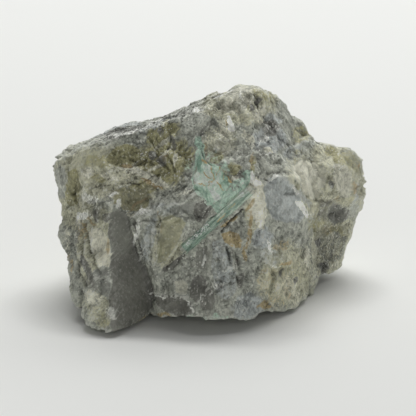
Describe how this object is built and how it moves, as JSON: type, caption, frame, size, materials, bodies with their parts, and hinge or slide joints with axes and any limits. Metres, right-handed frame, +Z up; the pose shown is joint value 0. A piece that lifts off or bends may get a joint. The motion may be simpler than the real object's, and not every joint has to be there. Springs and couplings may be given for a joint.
{
  "type": "emerald crystal in matrix",
  "caption": "Hand-sized rough lump of mica and quartz rock with a slim six-sided emerald prism and a broken pale emerald grown in its front face; rests on flats on its underside.",
  "frame": {"origin": "middle of the footprint, on the surface that the rock rests on", "axes": "+X along the rock's length to its right end, +Z up, the face with the emeralds looks to -Y"},
  "size_m": [0.0818, 0.0618, 0.0552],
  "materials": {
    "mica_quartz_rock": "rough broken mica and quartz rock, grey with olive and cream patches, small glinting flakes",
    "emerald": "cloudy green beryl, satin prism faces with cracks across",
    "pale_emerald": "pale green beryl, broken, cloudy, with cream and rust seams"
  },
  "bodies": {
    "root": {"matrix_rock": "mica_quartz_rock", "emerald_prism": "emerald", "emerald_mass": "pale_emerald"}
  },
  "joints": []
}
